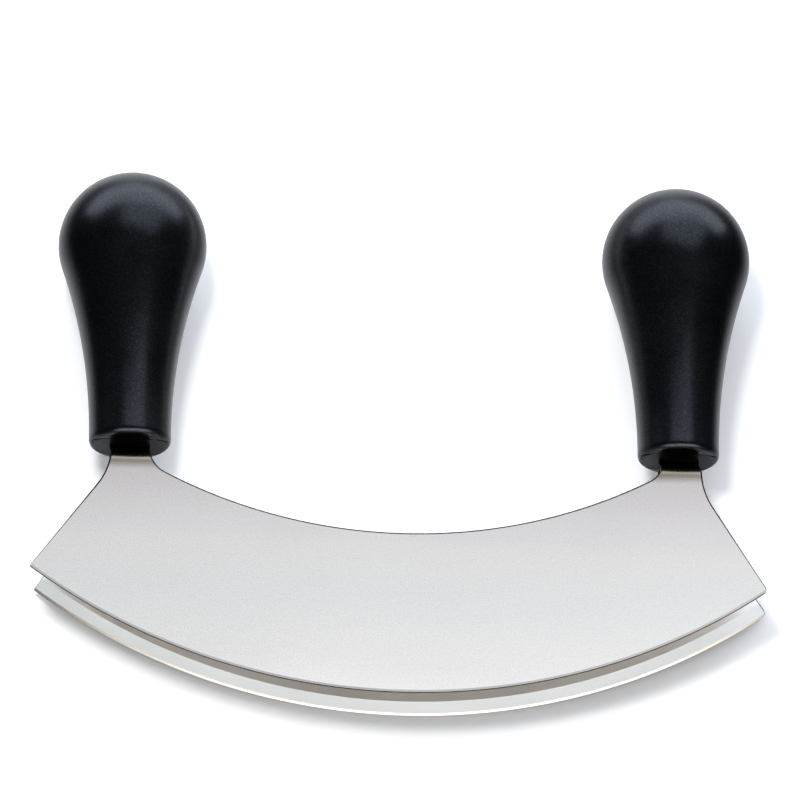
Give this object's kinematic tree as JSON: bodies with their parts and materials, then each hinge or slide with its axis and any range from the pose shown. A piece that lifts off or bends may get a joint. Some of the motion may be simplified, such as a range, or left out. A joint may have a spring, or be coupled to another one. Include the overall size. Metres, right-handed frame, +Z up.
{
  "type": "double-bladed mezzaluna",
  "caption": "Rocking mincing knife with parallel crescent blades joined by a bulb handle at each end, for chopping herbs and vegetables.",
  "frame": {"origin": "on the table under the middle of the whole knife as it lies on its back", "axes": "+X along the blades, +Y from the cutting edges to the handles, +Z up from the table towards the front blade"},
  "size_m": [0.2311, 0.1748, 0.0468],
  "materials": {
    "blade_steel": "satin ground stainless",
    "handle_plastic": "fine spark texture",
    "plug_plastic": "fine spark texture",
    "rivet_steel": "drawn"
  },
  "bodies": {
    "root": {"front_blade": "blade_steel", "rear_blade": "blade_steel", "left_handle": "handle_plastic", "right_handle": "handle_plastic", "left_end_plug": "plug_plastic", "right_end_plug": "plug_plastic", "left_tang_rivets": "rivet_steel", "right_tang_rivets": "rivet_steel"}
  },
  "joints": []
}
